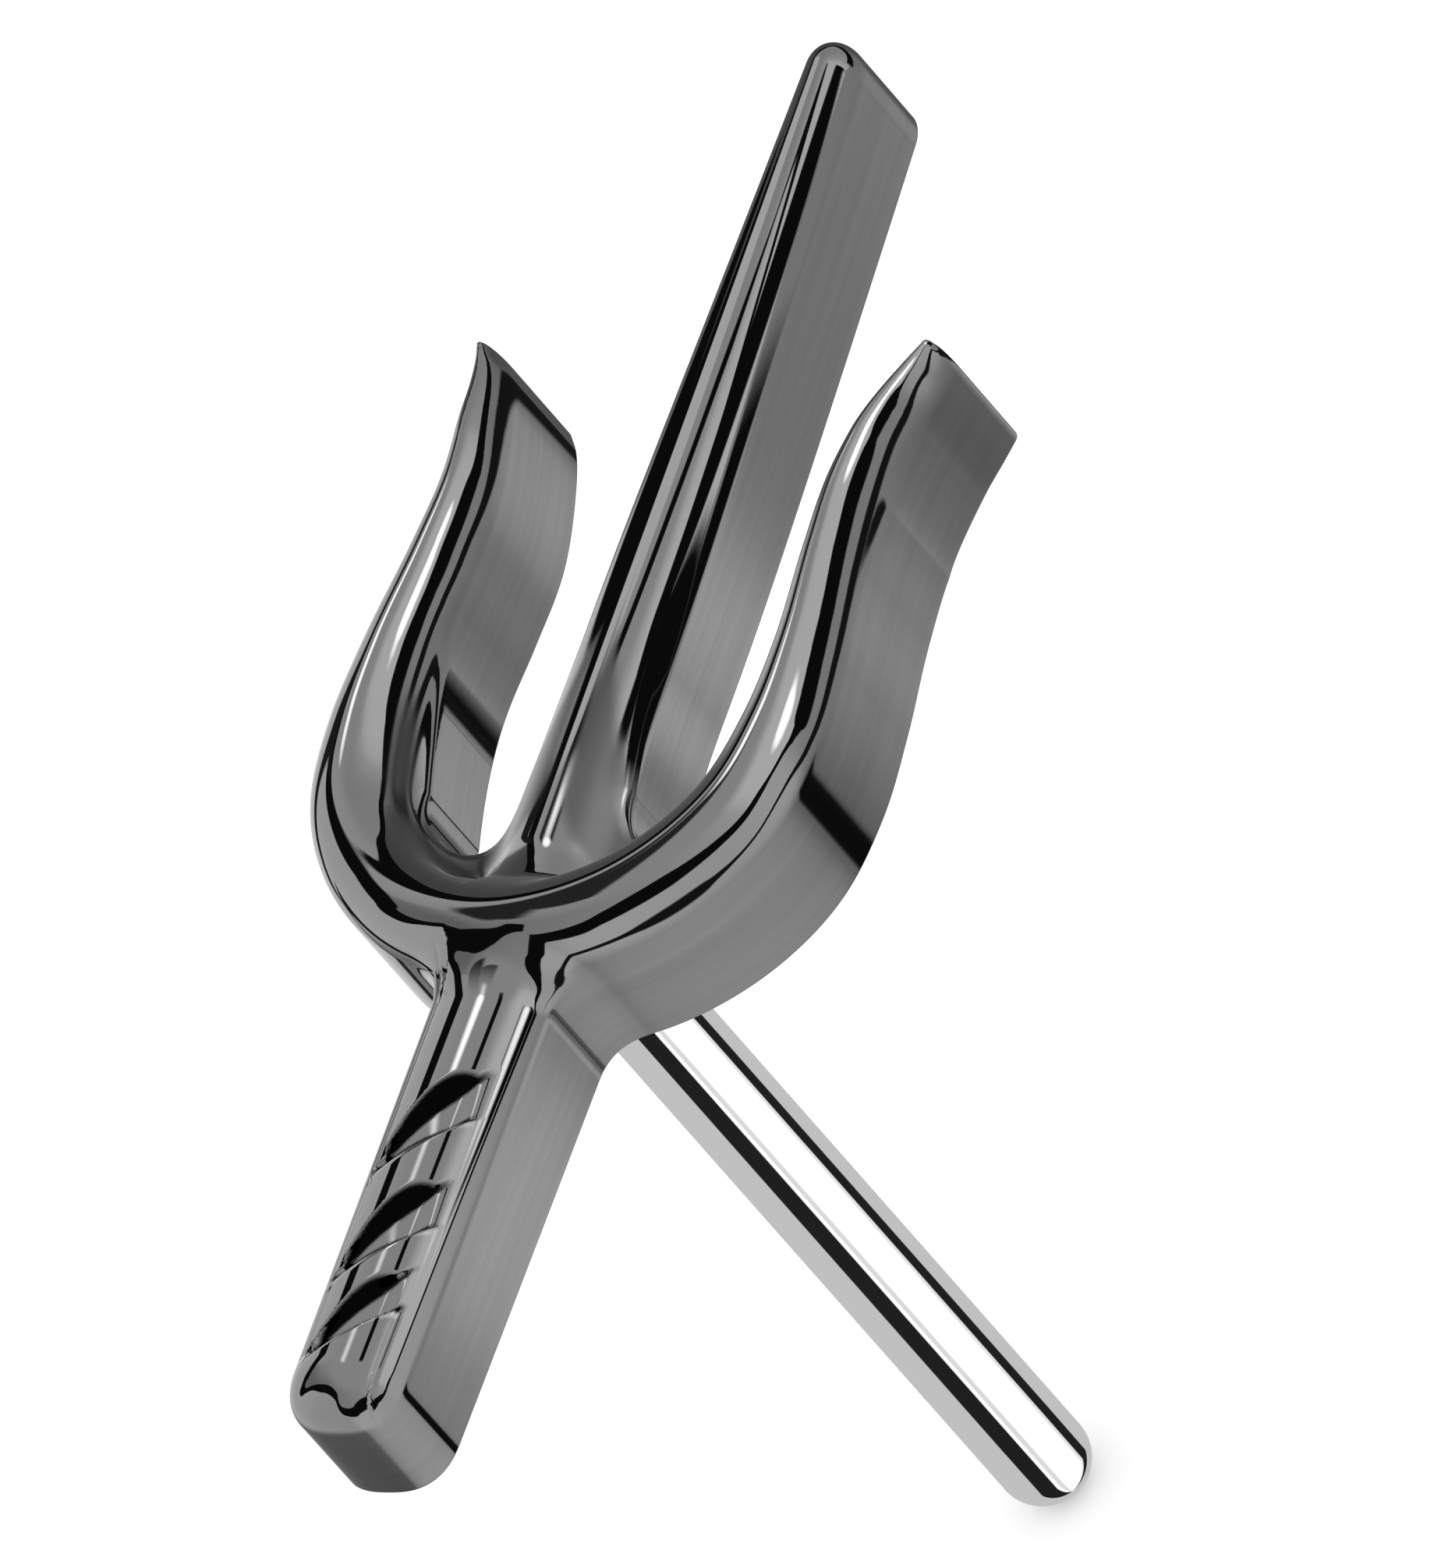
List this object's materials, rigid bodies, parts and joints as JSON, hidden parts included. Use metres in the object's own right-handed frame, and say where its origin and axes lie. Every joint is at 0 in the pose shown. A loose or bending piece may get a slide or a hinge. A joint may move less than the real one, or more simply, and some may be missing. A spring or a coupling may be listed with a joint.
{
  "type": "trident stud earring",
  "caption": "Trident-shaped stud: a domed dark metal head with a flat back on a plain bright round ear post.",
  "frame": {"origin": "centre of the post's root, in the plane of the head's flat back", "axes": "+Z out of the domed front of the head, so the post runs along -Z; +Y toward the prong tips; +X to the right seen from the front with the prongs up"},
  "size_m": [0.0058, 0.0163, 0.0118],
  "materials": {
    "dark_metal": "polished dark plated top, satin sides",
    "bright_wire": "mirror polished",
    "solder": "matte"
  },
  "bodies": {
    "root": {"trident_head": "dark_metal", "ear_post": "bright_wire", "solder_film": "solder"}
  },
  "joints": []
}
